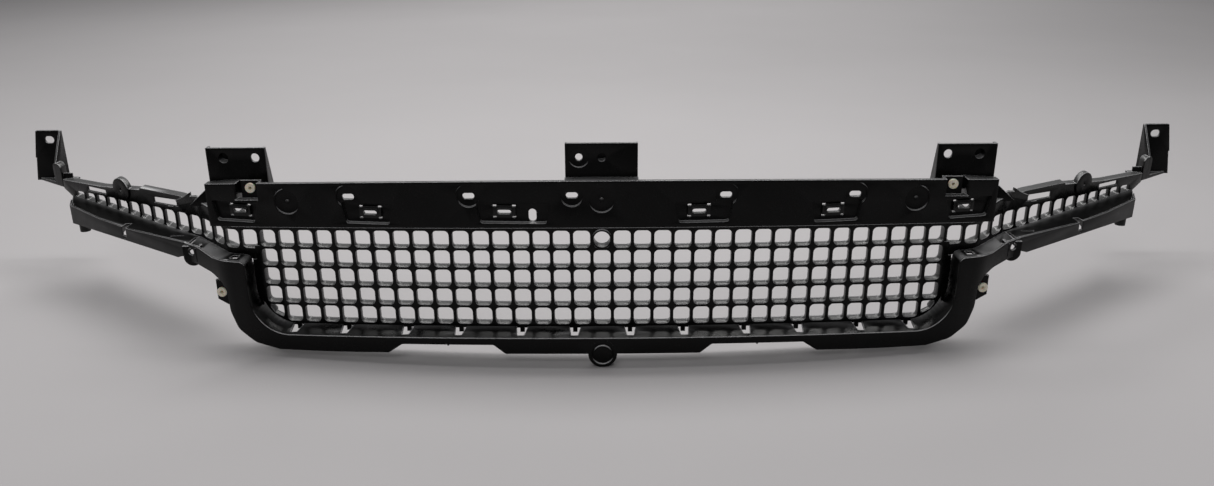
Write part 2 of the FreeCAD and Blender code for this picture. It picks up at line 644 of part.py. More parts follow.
def upper_panel():
    """The plain band over the mesh, with a top flange, clip pockets, slots and disc recesses."""
    half, low, high = cell("panel_half_width"), cell("panel_bottom_z"), cell("panel_top_z")
    top_crown = cell("top_crown_radius")
    outline = crowned_band(-half, half, low, high, None, top_crown)
    face = plan_solid(("panel", 0.0), ("panel", WALL)).common(outline)
    flange_band = crowned_band(-half, half, high - 2.6, high, top_crown, top_crown)
    flange = plan_solid(("panel", 0.0), ("panel", cell("panel_flange"))).common(flange_band)
    shelf = block(-40.0, 40.0, FACE_Y + 1.0, FACE_Y + cell("centre_bracket_y") - 0.2, 0, 300).common(flange_band)
    foot_band = crowned_band(-half, half, low, low + 2.4)
    foot = plan_solid(("panel", 0.0), ("upper", cell("mesh_depth"))).common(foot_band)
    adds, cuts = [flange, shelf, foot], []
    for x in CLIP_X:
        backing, space = pocket_back(x)
        adds.append(backing.common(outline))
        cuts.append(space)
    for x in PANEL_SLOTS:
        y, z = plan_y(x), panel_top(x) - cell("slot_drop")
        radius = cell("slot_pad_radius")
        adds.append(rod(x, z, y + 0.5, y + 3.2 + WALL, radius + 2.0))
        cuts.append(rod(x, z, y - 8, y + 3.2, radius))
        cuts.append(slot_prism(x, z, cell("slot_length"), cell("slot_width"), y - 8, y + 20))
    for x in DISC_X:
        y, z = plan_y(x), panel_top(x) - cell("disc_drop")
        radius = cell("disc_radius")
        adds.append(rod(x, z, y + 0.5, y + 2.4 + WALL, radius + 2.0))
        cuts.append(rod(x, z, y - 8, y + 2.4, radius))
    # The upright slot beside the third clip.
    cuts.append(slot_prism(-75.4, 167.6, 8.6, 14.4, FACE_Y - 5, FACE_Y + 20))
    for side in (-1, 1):
        cuts.append(sided(side, cell("notch_x"), cell("block_x"), FACE_Y - 5, FACE_Y + 90, 177.3, 230.0))
    body = carved(joined(face, adds), cuts)
    late = [piece for side in (-1, 1) for piece in (*end_block(side, outline, flange_band), *notch_walls(side))]
    late += [Part.makeSphere(3.0, Vector(x, plan_y(x) + 4.0, panel_top(x) - cell("disc_drop"))) for x in DISC_X]
    body = joined(body, late)
    # The clips' openings go right through.
    openings = []
    for x in CLIP_X:
        y, z = plan_y(x, "panel"), clip_z(x)
        openings.append(slot_prism(x, z, 15.4, 5.2, y - 5, y + 40))
        openings += corner_slots(x, z, y - 5, y + 40)
        openings.append(pocket_back(x)[1])
    return carved(body, openings)


def notch_walls(side):
    """The seat of an upper grommet, with the notch's floor and its inner side."""
    y, inner, outer = FACE_Y + cell("upper_grommet_y"), cell("notch_x"), cell("block_x")
    front = plan_y(inner) + 0.5
    seat = sided(side, inner - 2.5, inner + 20.0, y, y + WALL, 174.8, 198.0)
    floor = sided(side, inner - 2.5, outer + 0.5, front, y + WALL, 174.8, 177.3)
    wall = sided(side, inner - 2.5, inner, front, y + WALL, 174.8, 196.5)
    body_half = cell("grommet_body") / 2.0 + 0.1
    gx, gz = side * cell("upper_grommet_x"), cell("upper_grommet_z")
    hole = block(gx - body_half, gx + body_half, y - 5, y + 10, gz - body_half, gz + body_half)
    return [seat.cut(hole), floor, wall]


# ---------------------------------------------------------------- lower surround and strips
def grown_line(points, distance):
    """An open run of (x, z) points moved by distance to its right-hand side."""
    vectors = [Vector(x, z, 0) for x, z in points]
    normals = []
    for a, b in zip(vectors, vectors[1:]):
        along = (b - a).normalize()
        normals.append(Vector(along.y, -along.x, 0))
    moved = [vectors[0] + normals[0] * distance]
    for before, after, corner in zip(normals, normals[1:], vectors[1:-1]):
        middle = (before + after).normalize()
        moved.append(corner + middle * (distance / middle.dot(before)))
    moved.append(vectors[-1] + normals[-1] * distance)
    return [(p.x, p.y) for p in moved]


def both_sides(right_run, low_edges, top):
    """A prism whose right contour is right_run from the bottom up, mirrored on the left, closed at the top."""
    edges = list(low_edges)
    for s in (-1, 1):
        run = [point(s * x, z) for x, z in right_run] + [point(s * right_run[-1][0], top)]
        edges += [line(a, b) for a, b in zip(run, run[1:])]
    edges.append(line(point(-right_run[-1][0], top), point(right_run[-1][0], top)))
    return front_face(edges).extrude(Vector(0, 2 * FAR, 0))


def inside_region(grow, rise):
    """Everything above the surround's inner contour, which is moved outwards by grow. The front edge
    of the shoulder rises outwards; the shelf behind it is level, with no rise."""
    side, shoulder, shelf = cell("side_inner_x"), cell("shoulder_x") + 30.0, cell("shoulder_top_z")
    corner = cell("lip_top_z") - droop(side)
    run = [(side - 60.0, corner), (side, corner), (side + 4.2, 70.0), (side + 4.2, shelf - 7.9),
           (side + 46.0, shelf - 7.9 + 0.04 * rise), (side + 68.0, shelf - 7.9 + 0.88 * rise),
           (shoulder, shelf - 7.9 + rise)]
    moved = grown_line(run, grow)
    start = moved[1][0]
    low = moved[1][1] + droop(start)
    prism = both_sides(moved[1:], [crown(-start, start, low)], 280.0)
    radii = ((moved[1], cell("corner_inner_radius") + grow), (moved[3], 6.5 - grow))
    return rounded_prism(prism, [((s * x, z), radius) for s in (-1, 1) for (x, z), radius in radii])


OUTER_RUN = ((369.0, 8.3), (397.7, 14.6), (416.3, 29.5), (423.8, 50.6), (425.3, 75.0), (431.6, 86.2),
             (444.6, 93.3), (467.0, 97.4), (484.0, 98.2))


def outside_region():
    """Everything above the surround's outer contour, between the two shoulders."""
    low, high = cell("lip_low_z"), cell("lip_high_z")
    notch = [(108.0, low), (121.0, high), (224.0, high), (240.0, low)]
    edges = [crown(-108.0, 108.0, low)]
    first = OUTER_RUN[0]
    for s in (-1, 1):
        p = [point(s * x, z - droop(x)) for x, z in notch]
        edges.append(line(p[0], p[1]))
        edges.append(Part.Arc(p[1], point(s * 172.5, high - droop(172.5)), p[2]).toShape())
        edges.append(line(p[2], p[3]))
        middle = (notch[3][0] + first[0]) / 2.0
        edges.append(Part.Arc(p[3], point(s * middle, low - 0.4 - droop(middle)), point(s * first[0], first[1])).toShape())
    prism = both_sides(OUTER_RUN, edges, 280.0)
    return rounded_prism(prism, [c for s in (-1, 1) for c in (
        *[((s * x, z), 20.0) for x, z in OUTER_RUN[1:4]],
        ((s * OUTER_RUN[4][0], OUTER_RUN[4][1]), 14.0), ((s * OUTER_RUN[5][0], OUTER_RUN[5][1]), 12.0),
        ((s * OUTER_RUN[6][0], OUTER_RUN[6][1]), 20.0),
        *[((s * x, z - droop(x)), 4.0) for x, z in notch])])


def hook_window(x):
    """A window in the ledge, wider at the mesh than at the lip."""
    y, z = plan_y(x), cell("lip_top_z") - droop(x)
    wide, deep = cell("hook_window_width") / 2.0, cell("hook_window_depth")
    rear, front = y + 8.4, y - 3.0 - deep
    points = [Vector(x - wide, rear, z - 8), Vector(x + wide, rear, z - 8),
              Vector(x + wide * 0.55, front, z - 8), Vector(x - wide * 0.55, front, z - 8)]
    return Part.Face(Part.makePolygon([*points, points[0]])).extrude(Vector(0, 0, 16))


def lower_surround():
    """The U-shaped lower frame: a lip face, a ledge that runs back to the mesh, and ribs between."""
    outer, inner = outside_region(), inside_region(0.0, 8.0)
    level = inside_region(0.0, 0.0)
    face = plan_solid(("lower", 0.0), ("lower", WALL)).common(outer.cut(inner))
    ledge_band = inside_region(WALL, 0.0).cut(level).common(outer)
    under_mesh = cell("mesh_depth") - 0.3
    ledge = plan_solid(("lower", 0.0), ("upper", under_mesh)).common(ledge_band)
    shoulder_clear = block(-FAR, -389.5, FACE_Y - 60, FACE_Y + 300, 100, 300).common(
        plan_solid(("upper", -0.4), ("upper", 80.0)))
    other_clear = shoulder_clear.mirror(Vector(0, 0, 0), Vector(1, 0, 0))
    ledge = ledge.cut(Part.makeCompound([shoulder_clear, other_clear]))
    ribs = [surround_rib(s * x) for x in (60.0, 172.0, 250.0, 312.0) for s in (-1, 1)]
    foot_y = FACE_Y - cell("lip_reach")
    foot = rod(0, cell("foot_radius"), foot_y - 0.0, foot_y + 14.0, cell("foot_radius"))
    ring = rod(0, cell("foot_radius"), foot_y - 1, foot_y + 1.0, 12.0).cut(
        rod(0, cell("foot_radius"), foot_y - 1, foot_y + 1.0, 10.4))
    tabs = [grommet_tab(s) for s in (-1, 1)]
    eyelets = [eyelet(s) for s in (-1, 1)]
    body = face.multiFuse([ledge, foot, *ribs, *tabs, *eyelets])
    windows = [hook_window(s * x) for x in HOOK_X for s in (-1, 1)]
    shoulder_windows = [block(min(s * 412.0, s * 420.0), max(s * 412.0, s * 420.0),
                              plan_y(416.0) - 16.0, plan_y(416.0) - 6.0, 105.0, 125.0) for s in (-1, 1)]
    eyelet_y = plan_y(cell("eyelet_x"), "lower")
    holes = [rod(s * cell("eyelet_x"), cell("eyelet_z"), eyelet_y - 6.0, eyelet_y + 14.0,
                 cell("eyelet_hole_radius")) for s in (-1, 1)]
    pockets = [block(s * cell("lower_grommet_x") - cell("grommet_body") / 2 - 0.1,
                     s * cell("lower_grommet_x") + cell("grommet_body") / 2 + 0.1,
                     FACE_Y + cell("lower_grommet_y") - 5, FACE_Y + cell("lower_grommet_y") + 12,
                     cell("lower_grommet_z") - cell("grommet_body") / 2 - 0.1,
                     cell("lower_grommet_z") + cell("grommet_body") / 2 + 0.1) for s in (-1, 1)]
    return body.cut(Part.makeCompound([*windows, *shoulder_windows, *holes, *pockets, ring]))


def surround_rib(x):
    """An upright rib that ties the lip's face to the underside of the ledge."""
    y, z = plan_y(x), cell("lip_top_z") - droop(x) - WALL + 0.4
    front, drop = y - cell("lip_reach") + 1.0, 7.5
    points = [Vector(x - 1.0, front, z - drop), Vector(x - 1.0, y - 2, z - 1), Vector(x - 1.0, y - 2, z),
              Vector(x - 1.0, front, z)]
    return Part.Face(Part.makePolygon([*points, points[0]])).extrude(Vector(2.0, 0, 0))


def grommet_tab(side):
    """The tab outside the upright that seats a lower grommet, tied to the lip by a web."""
    x, y, z = cell("lower_grommet_x"), FACE_Y + cell("lower_grommet_y"), cell("lower_grommet_z")
    outline = [(x - 24, z - 13), (x - 5, z - 16), (x + 6, z - 9), (x + 6, z + 14.5), (x - 24, z + 14.5)]
    plate = polygon_prism([(side * a, b) for a, b in outline]).common(
        block(-FAR, FAR, y, y + 3.0, 0, 200))
    lip_y = plan_y(416.0, "lower")
    webs = []
    for low in (z - 12.0, z + 10.4):
        x1, x2 = sorted((side * (x - 24), side * (x - 13)))
        webs.append(block(x1, x2, lip_y + 1.5, y + 3.0, low, low + 2.6))
    return plate.multiFuse(webs)


def eyelet(side):
    """The round-ended tab under the shoulder's outer end."""
    x, z, radius = cell("eyelet_x"), cell("eyelet_z"), cell("eyelet_radius")
    y = plan_y(x, "lower") + 1.2
    plate = block(side * x - radius, side * x + radius, y, y + 3.0, z - 8.0, z + 6.0)
    end = rod(side * x, z - 8.0, y, y + 3.0, radius)
    x1, x2 = sorted((side * (x - radius), side * (x - radius + 2.6)))
    web = block(x1, x2, plan_y(x - radius, "lower") + 1.0, y + 8.0, z - 10.0, z + 6.0)
    return plate.multiFuse([end, web])


def strip_region(part):
    """Front view of a left wing strip's face, or of the level shelf behind it."""
    inner, outer = cell("shoulder_x") + 0.4, cell("strip_end_x") + 40.0
    high, low, root = cell("strip_top_z"), cell("strip_low_z"), cell("shoulder_top_z") - 0.4
    if part == "shelf":
        top = [(inner, high), (outer, high)]
        under = [(outer, high - WALL), (inner, high - WALL)]
    else:
        top = [(inner, root), (584.0, high), (640.0, high + 0.8), (outer, high + 9.5)]
        under = [(outer, low - 2.4), (inner + 14.0, low + 3.0), (inner, low + 9.0)]
    return polygon_prism([(-x, z) for x, z in (*top, *under)])


def wing_strip():
    """Left wing strip: a slim face, a shelf back to the wing mesh, an end cap, ribs and a peg."""
    outer = cell("strip_end_x")
    wing = math.radians(cell("wing_angle"))
    front_corner = (-outer, plan_y(outer, "lower"))
    mesh_corner = (-(outer + 30.0), plan_y(outer + 30.0) - 1.0)
    keep = Part.Face(Part.makePolygon([Vector(*p, 0) for p in (
        (-400.0, FACE_Y - 100.0), (-400.0, FACE_Y + 300.0), mesh_corner,
        (-(outer + 12.0), front_corner[1] + 26.0), front_corner, (-outer, FACE_Y - 100.0),
        (-400.0, FACE_Y - 100.0))])).extrude(Vector(0, 0, 300))
    face = plan_solid(("lower", 0.0), ("lower", WALL)).common(strip_region("face"))
    envelope = plan_solid(("lower", 0.0), ("upper", -0.5))
    shelf = envelope.common(strip_region("shelf"))
    body = face.fuse(shelf).common(keep)
    cap_run = [front_corner, (-(outer + 12.0), front_corner[1] + 26.0), mesh_corner]
    cap_tops = (cell("strip_top_z") + 5.4, cell("strip_top_z"))
    caps = [upright_wall(a, b, cell("strip_low_z") - 0.5, top, 2.6).common(envelope)
            for a, b, top in zip(cap_run, cap_run[1:], cap_tops)]
    ribs = [strip_rib(x).common(envelope) for x in (520.0, 560.0, 600.0, 640.0, 680.0)]
    peg_x = outer - 8.0
    peg_y = plan_y(peg_x, "lower") + 18.0
    peg = Part.makeCylinder(cell("peg_radius"), cell("strip_top_z") - 1.0 - cell("strip_low_z") + cell("peg_length"),
                            Vector(-peg_x, peg_y, cell("strip_low_z") - cell("peg_length")))
    body = body.multiFuse([*caps, *ribs, peg])
    notch_x = 592.0
    notch_y = plan_y(notch_x, "lower")
    notch = block(-notch_x - 3.5, -notch_x + 3.5, notch_y - 8, notch_y + 16, 100.5, 120.0)
    pin_hole = rod(-notch_x, 98.4, notch_y - 12, notch_y + 22, 1.5)
    slit_x = 512.0
    slit_y = plan_y(slit_x, "lower")
    slit = block(-slit_x - 7, -slit_x + 7, slit_y + 24.0, slit_y + 27.0, 105.0, 125.0)
    end_relief = block(-cell("shoulder_x") - 4.0, -cell("shoulder_x") + 2.0, FACE_Y, FACE_Y + 100, 90.0, 112.0)
    return body.cut(Part.makeCompound([notch, pin_hole, slit, end_relief]))


def upright_wall(a, b, low, high, thickness):
    """An upright wall between two plan points, its thickness towards the centre of the car."""
    along = Vector(b[0] - a[0], b[1] - a[1], 0).normalize()
    inward = Vector(along.y, -along.x, 0) * thickness
    if inward.x < 0:
        inward = inward * -1
    p, q = Vector(a[0], a[1], low), Vector(b[0], b[1], low)
    return Part.Face(Part.makePolygon([p, q, q + inward, p + inward, p])).extrude(Vector(0, 0, high - low))


def strip_rib(x):
    """A rib under the shelf of a left wing strip, square to the car's length."""
    y = plan_y(x, "lower")
    top = cell("strip_top_z") - 1.0
    low = cell("strip_low_z") + 5.0
    points = [Vector(-x - 1, y + 1, low), Vector(-x - 1, y + 38, top - 2), Vector(-x - 1, y + 38, top),
              Vector(-x - 1, y + 1, top)]
    return Part.Face(Part.makePolygon([*points, points[0]])).extrude(Vector(2, 0, 0))


# ---------------------------------------------------------------- brackets
def centre_bracket():
    """The upright plate over the middle, behind the panel's top flange."""
    y = "<face_y> + <centre_bracket_y>"
    half = "<centre_bracket_width> / 2"
    base_z = "<panel_top_z> - 6"
    plate = box_of("centre_plate", f"-({half})", y, base_z, "<centre_bracket_width>", "<bracket_wall>",
                   f"<centre_bracket_top_z> - ({base_z})")
    returns = [box_of(f"centre_return_{n}", x, y, base_z, "2.4", "5.4", f"<centre_bracket_top_z> - ({base_z})")
               for n, x in ((1, f"-({half})"), (2, f"{half} - 2.4"))]
    foot = box_of("centre_foot", f"-({half})", y, base_z, "<centre_bracket_width>", "13", "2.4")
    cup = rod_of("centre_socket_cup", "0.4", f"{y} + 1", "<centre_hole_z>", "<centre_socket_radius> + 2", "12")
    pad = rod_of("centre_pad", "<centre_hole_x>", f"{y} + 1", "<centre_hole_z>", "<centre_pad_radius> + 1.6",
                 "<bracket_wall> + 1.2")
    solid = fused("centre_solid", [plate, *returns, foot, cup, pad])
    pad_recess = rod_of("centre_pad_recess", "<centre_hole_x>", f"{y} - 5", "<centre_hole_z>",
                        "<centre_pad_radius>", "5 + 1.6")
    hole = rod_of("centre_hole", "<centre_hole_x>", f"{y} - 5", "<centre_hole_z>", "<centre_hole_radius>", "30")
    socket = rod_of("centre_socket", "0.4", f"{y} - 5", "<centre_hole_z>", "<centre_socket_radius>", "5 + 11")
    return finished("centre_bracket", cut_by("centre_bracket", solid, [pad_recess, hole, socket]))


def side_bracket():
    """Left upright plate behind the panel's end, with a gusset at its inner edge."""
    y = "<face_y> + <side_bracket_y>"
    height = "<side_bracket_top_z> - <side_bracket_low_z>"
    plate = box_of("side_plate", "-<side_bracket_outer_x>", y, "<side_bracket_low_z>",
                   "<side_bracket_outer_x> - <side_bracket_inner_x>", "<bracket_wall>", height)
    gusset = doc.addObject("Part::Wedge", "side_gusset")
    gusset.Placement = Placement(Vector(0, 0, 0), Rotation(Vector(1, 0, 0), 90))
    bind(gusset, Xmin="0", Xmax="2.4", X2min="0", X2max="2.4", Ymin="0", Ymax=height, Zmin="-20", Zmax="0",
         Z2min="-5", Z2max="0", Placement__Base__x="-<side_bracket_inner_x> - 2.4", Placement__Base__y=y,
         Placement__Base__z="<side_bracket_low_z>")
    cup = rod_of("side_socket_cup", "-<side_socket_x>", f"{y} + 1", "<side_hole_z>", "<side_socket_radius> + 2", "13")
    outer = box_of("side_outer_return", "-<side_bracket_outer_x>", y, "<side_bracket_low_z>", "2.4", "9", height)
    foot_y = "<face_y> + <upper_grommet_y> + <wall> + 0.1"
    foot = box_of("side_foot", "-<notch_x> - 19", foot_y, "<side_bracket_low_z>", "16", f"{y} + 1 - ({foot_y})", "5")
    solid = fused("side_solid", [plate, gusset, cup, outer, foot])
    hole = rod_of("side_hole", "-<side_hole_x>", f"{y} - 5", "<side_hole_z>", "<side_hole_radius>", "30")
    socket = rod_of("side_socket", "-<side_socket_x>", f"{y} - 5", "<side_hole_z>", "<side_socket_radius>", "5 + 12")
    left = finished("side_bracket_left", cut_by("side_bracket_left", solid, [hole, socket]))
    return left, mirrored("side_bracket_right", left)


def tip_bracket():
    """Left end bracket: a swept base, an upright slotted plate, a side gusset and a round-topped post."""
    wall = cell("bracket_wall")
    plate_y = FACE_Y + cell("tip_plate_y")
    inner, outer, foot = cell("tip_inner_x"), cell("tip_outer_x"), cell("tip_foot_x")
    base_z, top_z = cell("tip_base_z"), cell("tip_top_z")
    seam, post_x, post_top = 744.4, 762.0, cell("tip_post_top_z")
    rear = plate_y + wall + 4.2
    base = Part.Face(Part.makePolygon([Vector(*p, base_z) for p in (
        (-seam, plan_y(seam)), (-foot, plan_y(foot)), (-foot, rear), (-seam, rear), (-seam, plan_y(seam)))]))
    base = base.extrude(Vector(0, 0, 2.6))
    nose = plan_solid(("upper", 0.0), ("upper", WALL)).common(
        polygon_prism([(-seam, base_z), (-foot, base_z), (-foot, base_z + 2.6), (-post_x, base_z + 4.5),
                       (-seam, base_z + 11.0)]))
    step_z = base_z + 32.5
    plate = polygon_prism([(-inner, base_z), (-foot, base_z), (-(foot - 4.8), step_z), (-(foot - 3.4), step_z),
                           (-outer, top_z), (-inner, top_z)], [(4, 2.0), (5, 2.0)]).common(
        block(-FAR, FAR, plate_y, plate_y + wall, 0, 300))
    post_y = plan_y(754.0)
    gusset = side_fin(-inner, 2.4, [(post_y + 2.0, base_z), (plate_y + 1.0, base_z), (plate_y + 1.0, top_z),
                                    (plate_y - 2.0, top_z), (post_y + 2.0, post_top)])
    ends = [(-seam, base_z), (-post_x, base_z), (-post_x, post_top), (-seam, post_top)]
    inset = 2.6
    hollow = [(-(seam + inset), base_z - 5), (-(post_x - inset), base_z - 5), (-(post_x - inset), post_top - inset),
              (-(seam + inset), post_top - inset)]
    whole_post = polygon_prism(ends, [(2, 7.0), (3, 7.0)])
    post = whole_post.common(plan_solid(("upper", 0.0), ("upper", WALL)))
    cap = whole_post.cut(polygon_prism(hollow, [(2, 4.4), (3, 4.4)])).common(
        plan_solid(("upper", 0.0), ("upper", 11.0)))
    body = joined(base, [nose, plate, gusset, post, cap])
    slot = slot_prism(-cell("tip_slot_x"), cell("tip_slot_z"), cell("tip_slot_length"), cell("tip_slot_width"),
                      plate_y - 5, plate_y + 10)
    left = moulding("tip_bracket_left", body.cut(slot))
    return left, mirrored("tip_bracket_right", left)


def side_fin(x, thickness, outline):
    """A fin square to X, its outline given as (y, z) points."""
    points = [Vector(x, y, z) for y, z in outline]
    return Part.Face(Part.makePolygon([*points, points[0]])).extrude(Vector(thickness, 0, 0))


# ---------------------------------------------------------------- grommets and clips
def screw_grommet(name, x, y, z):
    """A white screw grommet: a round head and a square body with a screw bore and a cross slit."""
    head = rod_of(f"{name}_head", x, f"{y} - <grommet_head>", z, "<grommet_head_radius>", "<grommet_head>")
    stem = box_of(f"{name}_stem", f"{x} - <grommet_body> / 2", f"{y}", f"{z} - <grommet_body> / 2",
                  "<grommet_body>", "<grommet_body_length>", "<grommet_body>")
    barb = box_of(f"{name}_barb", f"{x} - <grommet_body> / 2 - 1", f"{y} + 3.4", f"{z} - <grommet_body> / 4",
                  "<grommet_body> + 2", "1.6", "<grommet_body> / 2")
    solid = fused(f"{name}_solid", [head, stem, barb])
    bore = rod_of(f"{name}_bore", x, f"{y} - <grommet_head> - 1", z, "<grommet_bore_radius>",
                  "<grommet_head> + <grommet_body_length> + 3")
    slit = box_of(f"{name}_slit", f"{x} - <grommet_body>", f"{y} + 5.5", f"{z} - 0.6", "2 * <grommet_body>", "6", "1.2")
    return finished(name, cut_by(name, solid, [bore, slit]))


def panel_clip(x):
    """The clip at x: a frame with a raised collar round the slot, on the pocket's floor."""
    floor = cell("pocket_depth")
    y, z = plan_y(x, "panel"), clip_z(x)
    width, height, depth = (cell(a) for a in ("clip_width", "clip_height", "clip_depth"))
    between = plan_solid(("panel", floor - depth), ("panel", floor - 0.05))
    thin = plan_solid(("panel", floor - 2.2), ("panel", floor - 0.05))
    rim = slot_prism(x, z, 19.0, 8.6, y - 5, y + 20)
    mouth = slot_prism(x, z, 15.4, 5.2, y - 5, y + 20)
    base = rounded_cell([(x - width / 2, z - height / 2), (x + width / 2, z - height / 2),
                         (x + width / 2, z + height / 2), (x - width / 2, z + height / 2)], 1.6)
    frame = carved(thin.common(base), corner_slots(x, z, y - 5, y + 20))
    return frame.fuse(between.common(rim)).cut(mouth)


# ---------------------------------------------------------------- assembly
moulding("upper_panel", upper_panel())
moulding("centre_mesh", centre_mesh())
wing_left = moulding("wing_mesh_left", wing_mesh())
mirrored("wing_mesh_right", wing_left)
moulding("lower_surround", lower_surround())
strip_left = moulding("wing_strip_left", wing_strip())
mirrored("wing_strip_right", strip_left)
centre_bracket()
side_bracket()
tip_bracket()
for place, x, y, z in (("upper", "<upper_grommet_x>", "<face_y> + <upper_grommet_y>", "<upper_grommet_z>"),
                       ("lower", "<lower_grommet_x>", "<face_y> + <lower_grommet_y>", "<lower_grommet_z>")):
    for hand, sign in (("left", "-"), ("right", "")):
        screw_grommet(f"{place}_grommet_{hand}", f"{sign}{x}", y, z)
for number, clip_x in enumerate(CLIP_X, start=1):
    moulding(f"panel_clip_{number}", panel_clip(clip_x))

# ---------------------------------------------------------------- check and write
doc.recompute()
for item in doc.Objects:
    if any(word in item.State for word in ("Invalid", "Error")):
        raise SystemExit(f"{item.Name} failed: {item.State}")
os.makedirs("parts", exist_ok=True)
for piece in subparts:
    shape = piece.Shape
    if shape.isNull() or not shape.isValid() or not shape.Solids:
        raise SystemExit(f"{piece.Label} has no valid solid")
    print(piece.Label, len(shape.Solids), round(shape.Volume), [round(v, 1) for v in (
        shape.BoundBox.XMin, shape.BoundBox.XMax, shape.BoundBox.YMin, shape.BoundBox.YMax,
        shape.BoundBox.ZMin, shape.BoundBox.ZMax)])
    shape.exportStep(f"parts/{piece.Label}.step")
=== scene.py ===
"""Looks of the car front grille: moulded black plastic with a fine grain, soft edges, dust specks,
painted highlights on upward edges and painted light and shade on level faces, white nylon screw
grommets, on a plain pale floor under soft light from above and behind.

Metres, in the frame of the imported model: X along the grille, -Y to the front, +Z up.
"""
import json
import math

import bpy
from mathutils import Matrix, Vector

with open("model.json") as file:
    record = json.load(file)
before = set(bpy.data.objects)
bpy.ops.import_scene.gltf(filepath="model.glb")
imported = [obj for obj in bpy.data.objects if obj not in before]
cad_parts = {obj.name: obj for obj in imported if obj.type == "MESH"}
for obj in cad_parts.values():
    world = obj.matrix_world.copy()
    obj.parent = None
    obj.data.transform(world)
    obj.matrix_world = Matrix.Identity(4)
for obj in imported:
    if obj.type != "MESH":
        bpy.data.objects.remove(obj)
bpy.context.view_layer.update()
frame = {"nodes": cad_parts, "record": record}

# ---------------------------------------------------------------- camera
CAMERA_PLACE = (0.0055, -1.1651, 0.4963)
CAMERA_TILT = 19.6        # degrees below level
CAMERA_ROLL = 0.34        # degrees, the right-hand side rises
LENS = 29.06              # mm
SENSOR_WIDTH = 36.0       # mm

# ---------------------------------------------------------------- edges of the mouldings
EDGE_SOFTENING = 0.0005   # radius that moulding leaves on the edges of large parts
SMALL_SOFTENING = 0.0003  # the same on clips and grommets
SMALL_PARTS = ("clip", "grommet")
SMOOTH_ANGLE = 32.0       # degrees, faces that meet at less are one smooth surface
SHARP_ANGLE = 38.0        # degrees, edges that turn by more are rounded
WELD_DISTANCE = 0.00002
EDGE_SAMPLES = 5          # rays that find the edges near a point

# ---------------------------------------------------------------- marks and painted edge highlights on the black plastic
FLOW_SCALE = 9.0          # noise scales, larger is finer
HAZE_SCALE = 22.0
WAVE_SCALE = 46.0
SPECK_SCALE = 620.0
WAVE_HEIGHT = 0.00018
GRAIN_HEIGHT = 0.00005
DARK_SHARE = 0.75         # the darkest flow marks against the palest
COOL_SHARE = 1.04         # blue in the palest flow marks
DUST = (0.22, 0.21, 0.20, 1.0)
# painted highlight: the pale colour mixed into edges whose rounding faces up
PAINTED_EDGE_HIGHLIGHT = (0.86, 0.86, 0.88, 1.0)

# ---------------------------------------------------------------- studio
FLOOR_REACH = 9.0
WORLD_GREY = (0.50, 0.50, 0.505, 1.0)
WORLD_STRENGTH = 0.32
LAMP_COLOUR = (1.0, 0.99, 0.975)
LAMPS = (  # name, place, point it faces, width, depth, watts
    ("overhead", (0.0, 0.55, 2.2), (0.0, 0.1, 0.0), 3.0, 1.3, 40.0),
    ("strip", (0.0, 0.3, 2.1), (0.0, 0.0, 0.0), 2.8, 0.12, 9.0),
    ("backdrop", (0.1, 3.4, 2.4), (0.0, 3.6, 0.0), 4.4, 1.5, 61.0),
    ("front_fill", (-0.5, -1.9, 1.7), (0.0, -0.3, 0.0), 1.2, 0.6, 7.0),
)


# ---------------------------------------------------------------- node helpers
def new_material(name):
    material = bpy.data.materials.new(name)
    material.use_nodes = True
    tree = material.node_tree
    return material, tree, tree.nodes["Principled BSDF"]


def add(tree, kind, **settings):
    """A new node whose sockets and properties are set by name."""
    node = tree.nodes.new(kind)
    for key, value in settings.items():
        if key in node.inputs:
            node.inputs[key].default_value = value
        else:
            setattr(node, key, value)
    return node


def feed(tree, socket, value):
    """Links value to the socket if it is an output, and sets it there if it is a number or colour."""
    if isinstance(value, bpy.types.NodeSocket):
        tree.links.new(value, socket)
    else:
        socket.default_value = value


def ramp(tree, source, stops):
    """A colour ramp from source; stops holds (position, grey or colour)."""
    node = tree.nodes.new("ShaderNodeValToRGB")
    elements = node.color_ramp.elements
    while len(elements) < len(stops):
        elements.new(0.5)
    for element, (position, value) in zip(elements, stops):
        element.position = position
        element.color = (*value, 1.0) if isinstance(value, tuple) else (value, value, value, 1.0)
    tree.links.new(source, node.inputs["Fac"])
    return node.outputs["Color"]


def noise(tree, vector, scale, detail=3.0, roughness=0.55):
    node = add(tree, "ShaderNodeTexNoise", Scale=scale, Detail=detail, Roughness=roughness)
    tree.links.new(vector, node.inputs["Vector"])
    return node.outputs["Fac"]


def blend(tree, factor, low, high):
    """Mixes two colours; each value may be a socket or set here."""
    node = add(tree, "ShaderNodeMix", data_type="RGBA")
    factor_socket, low_socket, high_socket = (node.inputs[number] for number in (0, 6, 7))
    feed(tree, factor_socket, factor)
    feed(tree, low_socket, low)
    feed(tree, high_socket, high)
    return node.outputs[2]


def math_node(tree, operation, a, b):
    node = add(tree, "ShaderNodeMath", operation=operation)
    feed(tree, node.inputs[0], a)
    feed(tree, node.inputs[1], b)
    return node.outputs[0]


def upward(tree, normal):
    """1 where the normal points up, 0 where it is level or points down."""
    split = tree.nodes.new("ShaderNodeSeparateXYZ")
    tree.links.new(normal, split.inputs[0])
    return math_node(tree, "MAXIMUM", split.outputs["Z"], 0.0)


def place(tree):
    """The point's own place, in metres."""
    return tree.nodes.new("ShaderNodeTexCoord").outputs["Object"]


def rounded_normal(tree, edge):
    """The surface's normal as if every edge were rounded by edge."""
    node = add(tree, "ShaderNodeBevel", Radius=edge)
    node.samples = EDGE_SAMPLES
    return node.outputs["Normal"]


